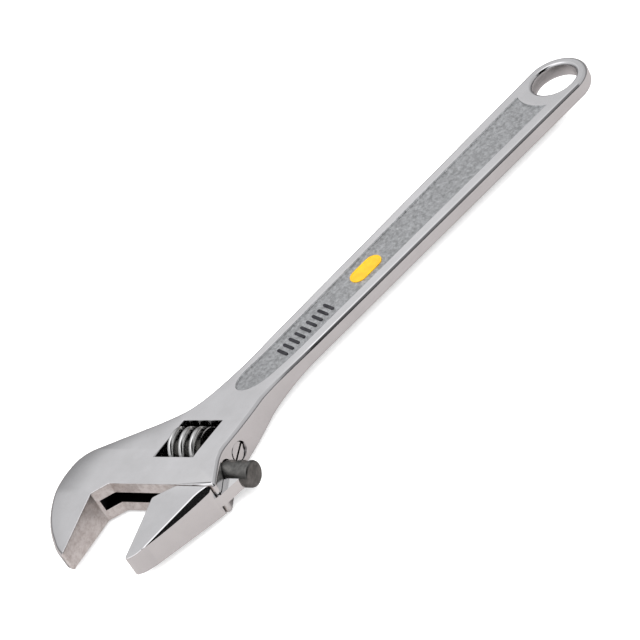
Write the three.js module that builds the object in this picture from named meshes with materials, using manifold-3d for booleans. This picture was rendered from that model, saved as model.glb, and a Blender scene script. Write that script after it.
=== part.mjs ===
// Adjustable wrench with a 22.5 degree head, 300 mm long.
// Millimetres. The wrench lies flat: +X runs along the handle to the hang hole, +Z is the front face,
// and the movable jaw opens toward -Y. The origin is the bottom centre of the whole tool.
import * as THREE from 'three';
import { mergeVertices } from 'three/addons/utils/BufferGeometryUtils.js';
import Module from 'manifold-3d';

const wasm = await Module();
wasm.setup();

// ---------------------------------------------------------------- driving dimensions
const OVERALL_LENGTH = 300;
const HEAD_THICKNESS = 15.9;
const HANDLE_THICKNESS = 7;
const TIP_THICKNESS = 9.6;
const HEAD_ANGLE = 22.5; // degrees between the jaws' depth and the handle
const CLEARANCE = 0.3; // running gap between pieces that slide or turn

const JAW_DEPTH = 32; // throat to jaw tips
const JAW_OPENING = 30.2; // as it rests
const JAW_WIDTH = 24.1; // the movable jaw along the slideway
const JAW_REACH = 33.4; // throat to the movable jaw's tip
const THROAT_CHAMFER = 6.2;
const TAPER_START = 4; // depth at which the jaws begin to thin
const NECK_START = 17; // below the slideway, where the head begins to thin toward the handle
const NECK_END = 76;
const CREASE_RUN = 29; // how far the crease's curve carries on below its start
const CREASE_SHARE = 0.56; // part of the extra head thickness that is left there
const NECK_RUN_OUT = 14; // how softly the curve meets the handle

const RACK_RADIUS = 5.2;
const RACK_DEPTH = 12.85; // below the slideway
const RACK_SETBACK = 2.3; // from the jaw's gripping face
const RACK_LENGTH = 31.8;
const NECK_THICKNESS = 5;

const WORM_RADIUS = 9.6;
const WORM_START = 23.8;
const WORM_END = 38.8;
const THREAD_PITCH = 5.1;
const THREAD_HEIGHT = 4.1;
const THREAD_CREST = 0.6; // half width
const THREAD_FOOT = 1.7; // half width
const THREAD_PHASE = 30.9; // where a crest meets the rack's centre line
const ROOT_CLEARANCE = 0.35; // between the worm's core and the rack
const BORE_CLEARANCE = 0.4; // between the worm and its pin
const PIN_RADIUS = 2.2;
const PIN_HEAD_RADIUS = 3.9;
const PIN_HEAD_LENGTH = 4;
const PIN_START = 15;
const PIN_END = 51.2;
const SPRING_RADIUS = 3.3;
const SPRING_WIRE = 0.35;
const SPRING_LENGTH = 3.2;

const HANDLE_CENTRE = -17.2; // the handle's centre line, from the throat corner
const HANDLE_WIDTH = 23.4; // at the head
const RING_RADIUS = 14.6;
const HOLE_RADIUS = 9.9;
const RECESS_DEPTH = 0.9;
const RECESS_START = 62.5;
const RIM_WIDTH = 4.3; // polished border beside the recess
const EDGE_BEVEL = 1.1;
const LABEL_LENGTH = 16;
const LABEL_WIDTH = 8;
const LABEL_THICKNESS = 0.4;
const LABEL_X = 136;

// ---------------------------------------------------------------- derived dimensions
const HALF = HEAD_THICKNESS / 2;
const HANDLE_HALF = HANDLE_THICKNESS / 2;
const TURN = THREE.MathUtils.degToRad(HEAD_ANGLE - 90); // slide direction, from +X
const TIP_X = -JAW_DEPTH * Math.cos(THREE.MathUtils.degToRad(HEAD_ANGLE)) - 1.2;
const RING_X = TIP_X + OVERALL_LENGTH - RING_RADIUS;
const RING_Y = HANDLE_CENTRE + 0.7;
const THREAD_ROOT = WORM_RADIUS - THREAD_HEIGHT;
const RACK_START = JAW_OPENING + RACK_SETBACK;
const RACK_END = RACK_START + RACK_LENGTH;
const WORM_DEPTH = RACK_DEPTH + RACK_RADIUS + ROOT_CLEARANCE + THREAD_ROOT; // below the slideway
const WORM_BORE = PIN_RADIUS + BORE_CLEARANCE;
const TAPER_END = 50; // well past the tips
const TAPER_SLOPE = (HALF - TIP_THICKNESS / 2) / (JAW_DEPTH - TAPER_START);

// ---------------------------------------------------------------- solid helpers
// Removes triangles whose corners fell together when the vertices were merged.
function dropFlatTriangles(geometry) {
  const kept = [];
  const corners = geometry.index.array;
  for (let i = 0; i < corners.length; i += 3) {
    const [a, b, c] = corners.slice(i, i + 3);
    if (a !== b && b !== c && c !== a) {
      kept.push(a, b, c);
    }
  }
  geometry.setIndex(kept);
}

function toSolid(geometry) {
  const bare = geometry.index ? geometry.toNonIndexed() : geometry.clone();
  bare.deleteAttribute('normal');
  bare.deleteAttribute('uv');
  const merged = mergeVertices(bare, 1e-4);
  dropFlatTriangles(merged);
  const mesh = new wasm.Mesh({
    numProp: 3,
    vertProperties: new Float32Array(merged.attributes.position.array),
    triVerts: new Uint32Array(merged.index.array),
  });
  return new wasm.Manifold(mesh);
}

function toGeometry(solid) {
  const mesh = solid.getMesh();
  const geometry = new THREE.BufferGeometry();
  geometry.setAttribute('position', new THREE.BufferAttribute(mesh.vertProperties, 3));
  geometry.setIndex(new THREE.BufferAttribute(mesh.triVerts, 1));
  geometry.computeVertexNormals();
  return geometry;
}

function cutAll(solid, cutters) {
  return cutters.reduce((left, cutter) => left.subtract(cutter), solid);
}

function joinAll(solids) {
  return solids.reduce((sum, solid) => sum.add(solid));
}

// An outline in XY, extruded evenly to both sides of z = 0, with bevelled edges.
function plate(shape, half, bevel = 0, curveSegments = 10) {
  const geometry = new THREE.ExtrudeGeometry(shape, {
    depth: 2 * (half - bevel),
    bevelEnabled: bevel > 0,
    bevelThickness: bevel,
    bevelSize: bevel,
    bevelOffset: -bevel,
    bevelSegments: 2,
    curveSegments,
  });
  geometry.translate(0, 0, bevel - half);
  return geometry;
}

function block(x0, x1, y0, y1, z0, z1) {
  const geometry = new THREE.BoxGeometry(x1 - x0, y1 - y0, z1 - z0);
  geometry.translate((x0 + x1) / 2, (y0 + y1) / 2, (z0 + z1) / 2);
  return geometry;
}

// A lathed rod along +x from a profile of [x, radius] pairs.
function rod(profile, y, segments = 32) {
  const points = profile.map(([x, radius]) => new THREE.Vector2(radius, x));
  const geometry = new THREE.LatheGeometry(points, segments);
  geometry.rotateZ(-Math.PI / 2);
  geometry.translate(0, y, 0);
  return geometry;
}

function polygon(points) {
  return new THREE.Shape(points.map(([x, y]) => new THREE.Vector2(x, y)));
}

// Moves a solid from the jaws' frame (x = slide, y = toward the handle) into the handle's frame.
function intoHandleFrame(geometry) {
  geometry.rotateZ(TURN);
  return geometry;
}

// ---------------------------------------------------------------- thickness of the head
// Seen along the jaws: full thickness in the head, a soft crease, then thinning to the handle.
function sideProfile(headHalf, handleHalf, far) {
  const reach = 200; // beyond the head on every side
  const creaseEnd = NECK_START + CREASE_RUN;
  const creaseHalf = THREE.MathUtils.lerp(handleHalf, headHalf, CREASE_SHARE);
  const runOut = NECK_END - NECK_RUN_OUT;
  const shape = new THREE.Shape();
  shape.moveTo(-reach, -headHalf);
  shape.lineTo(NECK_START, -headHalf);
  shape.bezierCurveTo(creaseEnd, -creaseHalf, runOut, -handleHalf, NECK_END, -handleHalf);
  shape.lineTo(far, -handleHalf);
  shape.lineTo(far, handleHalf);
  shape.lineTo(NECK_END, handleHalf);
  shape.bezierCurveTo(runOut, handleHalf, creaseEnd, creaseHalf, NECK_START, headHalf);
  shape.lineTo(-reach, headHalf);
  const geometry = plate(shape, reach, 0, 14);
  geometry.rotateX(Math.PI / 2);
  geometry.rotateZ(TURN + Math.PI / 2);
  return toSolid(geometry);
}

// In the jaws' frame: both jaws thin evenly from the throat to the tips.
function jawTaper() {
  const tip = HALF - TAPER_SLOPE * (TAPER_END - TAPER_START);
  const shape = polygon([
    [-TAPER_END, -tip],
    [-TAPER_START, -HALF],
    [90, -HALF],
    [90, HALF],
    [-TAPER_START, HALF],
    [-TAPER_END, tip],
  ]);
  const geometry = plate(shape, 120);
  geometry.rotateX(Math.PI / 2);
  geometry.rotateZ(Math.PI / 2);
  return geometry;
}

// ---------------------------------------------------------------- body
// Points of the jaws' frame (slide, depth toward the tips) in the handle's frame.
function fromJaws(slide, depth) {
  const point = new THREE.Vector2(slide, -depth).rotateAround(new THREE.Vector2(0, 0), TURN);
  return [point.x, point.y];
}

function handleEdge(x, side) {
  const t = (x - RECESS_START) / (RING_X - RECESS_START);
  const half = THREE.MathUtils.lerp(HANDLE_WIDTH / 2, RING_RADIUS, THREE.MathUtils.clamp(t, 0, 1));
  return THREE.MathUtils.lerp(HANDLE_CENTRE, RING_Y, t) + side * half;
}

function headShape() {
  const neckX = 96;
  const shape = new THREE.Shape();
  shape.moveTo(...fromJaws(0, THROAT_CHAMFER * 0.84));
  shape.lineTo(...fromJaws(THROAT_CHAMFER, 0));
  shape.lineTo(...fromJaws(54.6, 0));
  shape.lineTo(...fromJaws(55.8, -1.8));
  shape.lineTo(...fromJaws(52.2, -11.6));
  shape.quadraticCurveTo(...fromJaws(50, -17), ...fromJaws(51.4, -23.5));
  shape.quadraticCurveTo(54, -35.5, 64, -31.8);
  shape.quadraticCurveTo(76, -28.6, neckX, handleEdge(neckX, -1));
  shape.lineTo(neckX, handleEdge(neckX, 1));
  shape.bezierCurveTo(74, -5.4, 56, -8.2, 46, -5);
  shape.bezierCurveTo(42, -3.6, 39, -1.4, 35, 1);
  shape.lineTo(13.5, 16.6);
  shape.bezierCurveTo(8.5, 20.4, 4.5, 20.8, 0.5, 20);
  shape.bezierCurveTo(-10.6, 18.5, -21, 10.3, -26.6, 0);
  shape.lineTo(TIP_X + 1.2, -6);
  shape.lineTo(TIP_X, -9.8);
  shape.lineTo(...fromJaws(0, JAW_DEPTH));
  return shape;
}

function handleShape() {
  const start = 74;
  const shape = new THREE.Shape();
  shape.moveTo(start, handleEdge(start, -1) + 0.5);
  shape.lineTo(RING_X, handleEdge(RING_X, -1));
  shape.absarc(RING_X, RING_Y, RING_RADIUS, -Math.PI / 2, Math.PI / 2, false);
  shape.lineTo(start, handleEdge(start, 1) - 0.5);
  return shape;
}

// The long sunken panel of the handle: round at the head, hollowed round the ring at the far end.
function recessShape() {
  const reach = RING_RADIUS + 2.2;
  const spread = 0.62;
  const endX = RING_X - reach * Math.cos(spread);
  const shape = new THREE.Shape();
  const nose = RECESS_START + 5.5;
  shape.moveTo(nose + 8, handleEdge(nose + 8, -1) + RIM_WIDTH);
  shape.lineTo(endX, RING_Y - reach * Math.sin(spread));
  shape.absarc(RING_X, RING_Y, reach, Math.PI + spread, Math.PI - spread, true);
  shape.lineTo(nose + 8, handleEdge(nose + 8, 1) - RIM_WIDTH);
  shape.bezierCurveTo(nose - 8, HANDLE_CENTRE + 6, nose - 8, HANDLE_CENTRE - 6,
    nose + 8, handleEdge(nose + 8, -1) + RIM_WIDTH);
  return shape;
}

// Both panels in one cutter: what stands outside a core that follows the faces at an even depth.
function recessCutter() {
  const core = sideProfile(HALF - RECESS_DEPTH, HANDLE_HALF - RECESS_DEPTH, OVERALL_LENGTH);
  return toSolid(plate(recessShape(), HALF + 2)).subtract(core);
}

function labelShape(grow) {
  const half = LABEL_WIDTH / 2 + grow;
  const run = LABEL_LENGTH / 2 - LABEL_WIDTH / 2;
  const shape = new THREE.Shape();
  shape.absarc(LABEL_X + run, HANDLE_CENTRE, half, -Math.PI / 2, Math.PI / 2, false);
  shape.absarc(LABEL_X - run, HANDLE_CENTRE, half, Math.PI / 2, Math.PI * 1.5, false);
  return shape;
}

function hangHoleCutter() {
  const flare = 1.2;
  const reach = HANDLE_HALF + 1;
  const profile = [[-reach, 0], [-reach, HOLE_RADIUS + flare + 1], [-HANDLE_HALF + flare, HOLE_RADIUS],
    [HANDLE_HALF - flare, HOLE_RADIUS], [reach, HOLE_RADIUS + flare + 1], [reach, 0]];
  const geometry = rod(profile, 0, 48);
  geometry.rotateY(-Math.PI / 2);
  geometry.translate(RING_X, RING_Y, 0);
  return toSolid(geometry);
}

// The slanted opening through the head that holds the worm.
function windowCutter() {
  const top = WORM_DEPTH + WORM_RADIUS + CLEARANCE;
  const bottom = WORM_DEPTH - WORM_RADIUS - CLEARANCE;
  const slant = 0.15;
  const left = WORM_START - CLEARANCE - slant * (WORM_DEPTH + WORM_RADIUS - bottom);
  const right = WORM_END + CLEARANCE - slant * (WORM_DEPTH - WORM_RADIUS - bottom);
  const shape = polygon([
    [left, bottom],
    [right, bottom],
    [right + slant * (top - bottom), top],
    [left + slant * (top - bottom), top],
  ]);
  return toSolid(intoHandleFrame(plate(shape, HALF + 2)));
}

// Round bore for the rack and the narrower slot above it for the neck, open on the slideway.
function rackwayCutters() {
  const boreStart = 0.8;
  const bore = rod([[boreStart, 0], [boreStart, RACK_RADIUS + CLEARANCE],
    [90, RACK_RADIUS + CLEARANCE], [90, 0]], RACK_DEPTH, 40);
  const slotHalf = NECK_THICKNESS / 2 + CLEARANCE;
  const slot = block(boreStart, 90, -10, RACK_DEPTH, -slotHalf, slotHalf);
  return [bore, slot].map((geometry) => toSolid(intoHandleFrame(geometry)));
}

function pinHoleCutters() {
  const shank = PIN_RADIUS + CLEARANCE;
  const head = PIN_HEAD_RADIUS + CLEARANCE;
  const shoulder = PIN_END - PIN_HEAD_LENGTH - CLEARANCE;
  const profile = [[PIN_START - CLEARANCE, 0], [PIN_START - CLEARANCE, shank], [shoulder, shank],
    [shoulder, head], [70, head], [70, 0]];
  return [toSolid(intoHandleFrame(rod(profile, WORM_DEPTH, 28)))];
}

function buildBody() {
  const head = toSolid(plate(headShape(), HALF, EDGE_BEVEL))
    .intersect(sideProfile(HALF, HANDLE_HALF - 0.2, 110))
    .intersect(toSolid(intoHandleFrame(jawTaper())));
  const handle = toSolid(plate(handleShape(), HANDLE_HALF, EDGE_BEVEL, 16));
  const pocket = plate(labelShape(CLEARANCE), 2);
  pocket.translate(0, 0, HANDLE_HALF - RECESS_DEPTH - LABEL_THICKNESS / 2 + 2);
  return cutAll(joinAll([head, handle]), [
    recessCutter(),
    toSolid(pocket),
    hangHoleCutter(),
    windowCutter(),
    ...rackwayCutters(),
    ...pinHoleCutters(),
  ]);
}

// ---------------------------------------------------------------- movable jaw
function jawShape() {
  const face = JAW_OPENING;
  const heel = face + JAW_WIDTH;
  const shape = new THREE.Shape();
  shape.moveTo(face, -THROAT_CHAMFER - 0.6);
  shape.lineTo(face + THROAT_CHAMFER + 0.6, -CLEARANCE);
  shape.lineTo(heel - 0.2, -CLEARANCE);
  shape.lineTo(heel, -2.2);
  shape.bezierCurveTo(heel - 4.5, -10, heel - 11, -19.9, face + 6, 4 - JAW_REACH);
  shape.lineTo(face + 3, 0.9 - JAW_REACH);
  shape.lineTo(face, -JAW_REACH);
  return shape;
}

function neckShape() {
  return polygon([
    [RACK_START, -THROAT_CHAMFER],
    [RACK_START, RACK_DEPTH],
    [RACK_END - 2, RACK_DEPTH],
    [RACK_END - 4, RACK_DEPTH - RACK_RADIUS],
    [RACK_END - 8, 0],
    [RACK_END - 11, -3],
  ]);
}

// A slanted groove across the rack that clears the worm's thread.
function rackGroove(x) {
  const bottom = WORM_DEPTH - WORM_RADIUS - CLEARANCE;
  const top = RACK_DEPTH + RACK_RADIUS + 1;
  const narrow = THREAD_CREST + 0.2 + CLEARANCE;
  const flank = (THREAD_FOOT - THREAD_CREST) / THREAD_HEIGHT;
  const wide = narrow + flank * (top - bottom);
  const geometry = plate(polygon([[-narrow, bottom], [narrow, bottom], [wide, top], [-wide, top]]), 8);
  geometry.rotateY(-THREAD_PITCH / (2 * Math.PI * (WORM_RADIUS - 1)));
  geometry.translate(x, 0, 0);
  return toSolid(geometry);
}

function buildJaw() {
  const chamfer = 1.1;
  const rack = rod([[RACK_START, 0], [RACK_START, RACK_RADIUS], [RACK_END - chamfer, RACK_RADIUS],
    [RACK_END, RACK_RADIUS - chamfer], [RACK_END, 0]], RACK_DEPTH, 40);
  const jaw = toSolid(plate(jawShape(), HALF, EDGE_BEVEL)).intersect(toSolid(jawTaper()));
  const neck = toSolid(plate(neckShape(), NECK_THICKNESS / 2));
  const grooves = [];
  const before = Math.max(0, Math.ceil((THREAD_PHASE - RACK_START) / THREAD_PITCH));
  for (let x = THREAD_PHASE - before * THREAD_PITCH; x < RACK_END; x += THREAD_PITCH) {
    grooves.push(rackGroove(x));
  }
  return cutAll(joinAll([jaw, neck, toSolid(rack)]), grooves);
}

// ---------------------------------------------------------------- worm, pin and spring
// One closed strip wound round the worm's axis, a right-hand thread.
function threadGeometry() {
  const section = [[-THREAD_FOOT - 0.2, THREAD_ROOT - 0.5], [-THREAD_CREST - 0.3, WORM_RADIUS - 0.5],
    [-THREAD_CREST, WORM_RADIUS], [THREAD_CREST, WORM_RADIUS], [THREAD_CREST + 0.3, WORM_RADIUS - 0.5],
    [THREAD_FOOT + 0.2, THREAD_ROOT - 0.5]];
  const perTurn = 28;
  const turnsBack = Math.ceil((THREAD_PHASE - WORM_START) / THREAD_PITCH) + 1;
  const turnsOn = Math.ceil((WORM_END - THREAD_PHASE) / THREAD_PITCH) + 1;
  const positions = [];
  for (let i = -turnsBack * perTurn; i <= turnsOn * perTurn; i += 1) {
    const angle = (i / perTurn) * 2 * Math.PI;
    for (const [offset, radius] of section) {
      const x = THREAD_PHASE + (i / perTurn) * THREAD_PITCH + offset;
      positions.push(x, WORM_DEPTH - radius * Math.cos(angle), -radius * Math.sin(angle));
    }
  }
  const sides = section.length;
  const rings = positions.length / 3 / sides;
  const index = [];
  for (let ring = 0; ring < rings - 1; ring += 1) {
    for (let k = 0; k < sides; k += 1) {
      const a = ring * sides + k;
      const b = ring * sides + ((k + 1) % sides);
      index.push(a, a + sides, b, b, a + sides, b + sides);
    }
  }
  const last = (rings - 1) * sides;
  for (let k = 1; k < sides - 1; k += 1) {
    index.push(0, k, k + 1, last, last + k + 1, last + k);
  }
  const geometry = new THREE.BufferGeometry();
  geometry.setAttribute('position', new THREE.Float32BufferAttribute(positions, 3));
  geometry.setIndex(index);
  return geometry;
}

function buildWorm() {
  const edge = 0.7;
  const envelope = rod([[WORM_START, 0], [WORM_START, WORM_RADIUS - edge], [WORM_START + edge, WORM_RADIUS],
    [WORM_END - edge, WORM_RADIUS], [WORM_END, WORM_RADIUS - edge], [WORM_END, 0]], WORM_DEPTH, 56);
  const core = rod([[WORM_START, 0], [WORM_START, THREAD_ROOT], [WORM_END, THREAD_ROOT],
    [WORM_END, 0]], WORM_DEPTH, 40);
  const springRoom = SPRING_RADIUS + SPRING_WIRE + CLEARANCE;
  const springEnd = WORM_START + SPRING_LENGTH + 2 * SPRING_WIRE + CLEARANCE;
  const bore = rod([[WORM_START - 1, 0], [WORM_START - 1, springRoom], [springEnd, springRoom],
    [springEnd, WORM_BORE], [WORM_END + 1, WORM_BORE], [WORM_END + 1, 0]], WORM_DEPTH, 32);
  return joinAll([toSolid(core), toSolid(threadGeometry()).intersect(toSolid(envelope))])
    .subtract(toSolid(bore));
}

function buildPin() {
  const shoulder = PIN_END - PIN_HEAD_LENGTH;
  const slotWidth = 1.1;
  const slotDepth = 1.4;
  const pin = rod([[PIN_START, 0], [PIN_START, PIN_RADIUS - 0.5], [PIN_START + 0.5, PIN_RADIUS],
    [shoulder, PIN_RADIUS], [shoulder, PIN_HEAD_RADIUS], [PIN_END - 0.4, PIN_HEAD_RADIUS],
    [PIN_END, PIN_HEAD_RADIUS - 0.4], [PIN_END, 0]], WORM_DEPTH, 32);
  const slot = block(PIN_END - slotDepth, PIN_END + 1, -5, 5, -slotWidth / 2, slotWidth / 2);
  slot.rotateX(THREE.MathUtils.degToRad(20));
  slot.translate(0, WORM_DEPTH, 0);
  return toSolid(pin).subtract(toSolid(slot));
}

class HelixCurve extends THREE.Curve {
  getPoint(t, target = new THREE.Vector3()) {
    const turns = 3;
    const angle = t * turns * 2 * Math.PI;
    const x = WORM_START + SPRING_WIRE + t * SPRING_LENGTH;
    return target.set(x, WORM_DEPTH + SPRING_RADIUS * Math.cos(angle), SPRING_RADIUS * Math.sin(angle));
  }
}

function buildSpring() {
  const wire = new THREE.Shape();
  wire.absarc(0, 0, SPRING_WIRE, 0, 2 * Math.PI, false);
  return toSolid(new THREE.ExtrudeGeometry(wire, {
    extrudePath: new HelixCurve(), steps: 60, bevelEnabled: false, curveSegments: 3,
  }));
}

function buildLabel() {
  const geometry = plate(labelShape(0), LABEL_THICKNESS / 2, 0.08, 12);
  geometry.translate(0, 0, HANDLE_HALF - RECESS_DEPTH + 0.02);
  return toSolid(geometry);
}

// ---------------------------------------------------------------- materials and scene
function metal(name, color, roughness) {
  return new THREE.MeshStandardMaterial({ name, color, roughness, metalness: 1 });
}

const CHROME = metal('polished_chrome', 0xc9c7c8, 0.12);
const DARK_STEEL = metal('dark_steel', 0x6c706b, 0.4);
const SPRING_STEEL = metal('spring_steel', 0x4c4e50, 0.35);
const YELLOW_ENAMEL = new THREE.MeshStandardMaterial({
  name: 'yellow_enamel', color: 0xf2b61c, roughness: 0.35, metalness: 0,
});

function piece(name, solid, material) {
  const mesh = new THREE.Mesh(toGeometry(solid), material);
  mesh.name = name;
  return mesh;
}

const jaws = new THREE.Group();
jaws.rotation.z = TURN;
jaws.add(
  piece('movable_jaw', buildJaw(), CHROME.clone()),
  piece('adjusting_worm', buildWorm(), CHROME.clone()),
  piece('worm_pin', buildPin(), DARK_STEEL),
  piece('worm_spring', buildSpring(), SPRING_STEEL),
);

const wrench = new THREE.Group();
wrench.add(
  piece('wrench_body', buildBody(), CHROME),
  piece('handle_label', buildLabel(), YELLOW_ENAMEL),
  jaws,
);
wrench.updateMatrixWorld(true);

// The origin goes to the bottom centre of the whole tool.
const bounds = new THREE.Box3().setFromObject(wrench, true);
const centre = bounds.getCenter(new THREE.Vector3());
wrench.position.set(-centre.x, -centre.y, -bounds.min.z);

export default wrench;
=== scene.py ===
# %% [markdown]
# # Adjustable wrench
# A chromed wrench, 300 mm long, lying flat: the handle runs along X, the front face looks up and the
# movable jaw opens toward -Y. The CAD frame holds every piece and its joints. This file models each
# piece again with a finer surface and gives it its finish.

# %% Open the frame
import math

import bpy
from mathutils import Euler, Matrix, Vector


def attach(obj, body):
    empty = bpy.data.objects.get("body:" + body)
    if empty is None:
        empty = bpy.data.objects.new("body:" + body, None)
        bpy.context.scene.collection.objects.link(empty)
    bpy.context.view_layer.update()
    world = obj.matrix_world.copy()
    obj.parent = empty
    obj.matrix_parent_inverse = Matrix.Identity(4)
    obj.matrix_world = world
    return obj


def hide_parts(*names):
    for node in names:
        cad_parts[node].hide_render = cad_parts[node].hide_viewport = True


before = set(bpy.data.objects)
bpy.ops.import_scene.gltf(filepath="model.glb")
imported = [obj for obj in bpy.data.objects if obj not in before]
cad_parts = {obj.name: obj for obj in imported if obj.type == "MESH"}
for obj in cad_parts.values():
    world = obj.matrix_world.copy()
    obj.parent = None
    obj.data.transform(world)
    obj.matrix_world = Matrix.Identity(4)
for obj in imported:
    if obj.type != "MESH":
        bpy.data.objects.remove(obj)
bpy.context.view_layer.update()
print("CAD nodes:", sorted(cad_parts))

# %% [markdown]
# ## Two sets of axes
# The tool is easiest to draw in two sets of axes that share one point, the corner of the throat at
# mid thickness. One follows the handle. The other is turned 22.5 degrees and follows the jaws:
# "slide" is the way the movable jaw travels and "depth" runs from the throat to the jaw tips.

# %% Driving dimensions, in millimetres
MM = 0.001
THROAT = Vector((-119.236, 17.86, 9.6)) * MM
HEAD_TURN = math.radians(22.5)
SLIDE = Vector((math.sin(HEAD_TURN), -math.cos(HEAD_TURN), 0))
DEPTH = Vector((-math.cos(HEAD_TURN), -math.sin(HEAD_TURN), 0))
UP = Vector((0, 0, 1))

HEAD_HALF = 7.95
HANDLE_HALF = 3.5
TIP_HALF = 4.8
CLEARANCE = 0.3
JAW_DEPTH = 32
JAW_OPENING = 30.2
JAW_WIDTH = 24.1
JAW_REACH = 33.4
TIP_X = -30.764
RING_X = 254.636
RING_Y = -16.5
RING_RADIUS = 14.6
HOLE_RADIUS = 9.9
HANDLE_Y = -17.2
HANDLE_START = 62.5
HANDLE_HALF_WIDTH = 11.7
NECK_START = 17
NECK_END = 76
RACK_DEPTH = -12.85
RACK_RADIUS = 5.2
RACK_START = 32.5
RACK_END = 64.3
WORM_DEPTH = -23.9
WORM_RADIUS = 9.6
WORM_ENDS = (23.8, 38.8)
THREAD_PITCH = 5.1
THREAD_PHASE = 30.9
THREAD_ROOT = 5.5


def on_handle(x, y, z=0):
    """A point given along and across the handle."""
    return THROAT + Vector((x, y, z)) * MM


def on_jaws(slide, depth, z=0):
    """A point given by the jaws' axes."""
    return THROAT + (SLIDE * slide + DEPTH * depth + UP * z) * MM


print("head turned", round(math.degrees(HEAD_TURN), 1), "degrees")

# %% [markdown]
# ## Small modelling helpers
# Every operator works on what is selected, so each helper first leaves edit mode and selects one
# piece. Faces and edges are chosen by a test on their place or their normal, the way a modeller
# picks them by eye.

# %% Selection helpers
def take(piece):
    """Makes one piece the only selected and active one, in object mode."""
    if bpy.context.object and bpy.context.object.mode != "OBJECT":
        bpy.ops.object.mode_set(mode="OBJECT")
    bpy.ops.object.select_all(action="DESELECT")
    piece.select_set(True)
    bpy.context.view_layer.objects.active = piece


def open_all(piece):
    """Opens one piece in edit mode with all of it selected."""
    take(piece)
    bpy.ops.object.mode_set(mode="EDIT")
    bpy.ops.mesh.select_all(action="SELECT")


def pick(piece, kind, test):
    """Selects the vertices, edges or faces that pass the test and opens the piece in edit mode."""
    take(piece)
    bpy.ops.object.mode_set(mode="EDIT")
    bpy.ops.mesh.select_mode(type=kind)
    bpy.ops.mesh.select_all(action="DESELECT")
    bpy.ops.object.mode_set(mode="OBJECT")
    mesh = piece.data
    parts = {"VERT": mesh.vertices, "EDGE": mesh.edges, "FACE": mesh.polygons}[kind]
    chosen = [part for part in parts if test(part)]
    for part in chosen:
        part.select = True
    bpy.ops.object.mode_set(mode="EDIT")
    return len(chosen)


def face_normals_by_edge(mesh):
    """For each edge, the normals of the faces on its two sides."""
    normals = {}
    for face in mesh.polygons:
        for key in face.edge_keys:
            normals.setdefault(key, []).append(face.normal.copy())
    return normals


def edge_middle(mesh, edge):
    """The middle of an edge."""
    first, second = edge.vertices
    return (mesh.vertices[first].co + mesh.vertices[second].co) / 2


def soften(piece, test, width, segments=3):
    """Rounds the edges that pass test(middle, normals) to the width in millimetres."""
    mesh = piece.data
    sides = face_normals_by_edge(mesh)

    def chosen(edge):
        normals = sides.get(edge.key, [])
        return len(normals) == 2 and test(edge_middle(mesh, edge), normals)

    count = pick(piece, "EDGE", chosen)
    if count:
        bpy.ops.mesh.bevel(
            offset=width * MM, segments=segments, profile=0.5, affect="EDGES", clamp_overlap=False,
        )
    take(piece)
    return count


# %% Shape helpers
def curve(start, first, second, end, steps):
    """Points along a cubic curve, without its start."""
    points = []
    for step in range(1, steps + 1):
        t = step / steps
        weights = ((1 - t) ** 3, 3 * t * (1 - t) ** 2, 3 * t * t * (1 - t), t ** 3)
        pulls = list(zip(weights, (start, first, second, end)))
        points.append(tuple(sum(w * p[k] for w, p in pulls) for k in (0, 1)))
    return points


def bow(start, pull, end, steps):
    """Points along a curve pulled toward one point, without its start."""
    first = tuple(s + (p - s) * 2 / 3 for s, p in zip(start, pull))
    second = tuple(e + (p - e) * 2 / 3 for e, p in zip(end, pull))
    return curve(start, first, second, end, steps)


def arc(centre, radius, start, end, steps):
    """Points on a circle from one angle to another, in radians, both ends included."""
    angles = [start + (end - start) * step / steps for step in range(steps + 1)]
    return [(centre[0] + radius * math.cos(a), centre[1] + radius * math.sin(a)) for a in angles]


def outline_plate(name, outline, place, low, high):
    """A flat plate: a circle pulled to the outline, then extruded from one height to the other."""
    bpy.ops.mesh.primitive_circle_add(vertices=len(outline), radius=MM, fill_type="NGON")
    plate = bpy.context.object
    plate.name = name
    plate.data.name = name
    for vertex, (x, y) in zip(plate.data.vertices, outline):
        vertex.co = place(x, y, low)
    open_all(plate)
    bpy.ops.mesh.extrude_region_move(TRANSFORM_OT_translate={"value": (0, 0, (high - low) * MM)})
    bpy.ops.mesh.select_all(action="SELECT")
    bpy.ops.mesh.normals_make_consistent(inside=False)
    bpy.ops.object.mode_set(mode="OBJECT")
    return plate


def rod(name, start, end, radius, middle_depth, sides=48):
    """A round rod along the slide direction."""
    centre = on_jaws((start + end) / 2, middle_depth)
    bpy.ops.mesh.primitive_cylinder_add(
        vertices=sides, radius=radius * MM, depth=abs(end - start) * MM, location=centre,
        rotation=(math.pi / 2, 0, HEAD_TURN),
    )
    piece = bpy.context.object
    piece.name = name
    bpy.ops.object.transform_apply(location=True, rotation=True, scale=True)
    return piece


def join_or_cut(piece, tool, operation):
    """Joins, cuts or intersects a piece with a tool, which is used up."""
    take(piece)
    step = piece.modifiers.new("step", "BOOLEAN")
    step.operation = operation
    step.object = tool
    step.solver = "EXACT"
    step.material_mode = "TRANSFER"
    bpy.ops.object.modifier_apply(modifier=step.name)
    bpy.data.objects.remove(tool)


def slice_across(piece, stations, normal):
    """Cuts loops across the piece, one at each station, without parting it."""
    take(piece)
    bpy.ops.object.mode_set(mode="EDIT")
    for station in stations:
        bpy.ops.mesh.select_all(action="SELECT")
        bpy.ops.mesh.bisect(plane_co=station, plane_no=normal)
    bpy.ops.object.mode_set(mode="OBJECT")


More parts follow.
